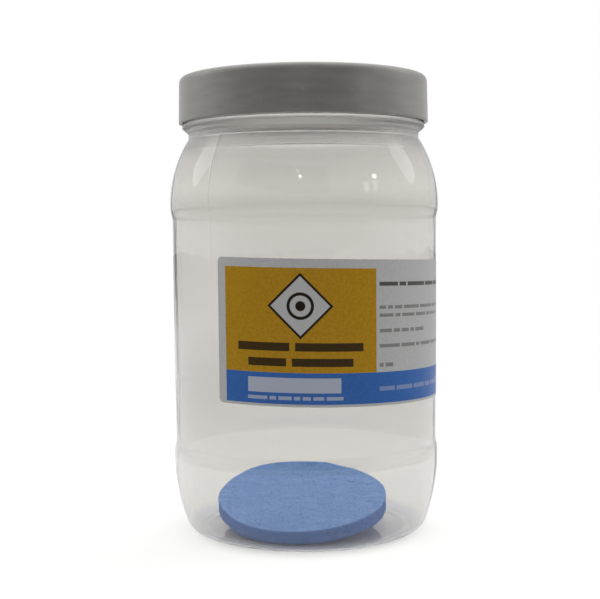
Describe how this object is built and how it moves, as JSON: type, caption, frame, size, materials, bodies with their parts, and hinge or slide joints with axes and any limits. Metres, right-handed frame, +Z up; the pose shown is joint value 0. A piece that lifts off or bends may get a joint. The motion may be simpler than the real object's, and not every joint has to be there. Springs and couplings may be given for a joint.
{
  "type": "laboratory waste container",
  "caption": "Clear wide-mouth screw-top jar with bumper rings, a smooth screw cap, a wrap-round label and a blue absorbent foam disc in the bottom.",
  "frame": {"origin": "on the jar's axis, at the plane of its standing ring", "axes": "+Z up along the jar's axis, -Y towards the label's printed front"},
  "size_m": [0.1226, 0.1226, 0.2071],
  "materials": {
    "clear_wall": "clear and glossy",
    "cap": "satin, light grey",
    "liner_foam": "matt closed-cell foam",
    "label_film": "printed, low sheen",
    "pad_foam": "matt open-cell foam"
  },
  "bodies": {
    "jar_body": {"jar": "clear_wall", "label": "label_film", "absorbent_pad": "pad_foam"},
    "liner_body": {"lid_liner": "liner_foam"},
    "lid_body": {"lid": "cap"}
  },
  "joints": [
    {"name": "lid_rise", "type": "slide", "parent": "jar_body", "child": "liner_body", "axis": [0, 0, 1], "range_m": [0, 0.0254]},
    {"name": "lid_turn", "type": "hinge", "parent": "liner_body", "child": "lid_body", "pos_m": [0, 0, 0.19], "axis": [0, 0, 1], "range_deg": [0, 1800]}
  ],
  "couplings": [
    {"joint": "lid_rise", "follows": "lid_turn", "m_per_rad": 0.00080851}
  ]
}
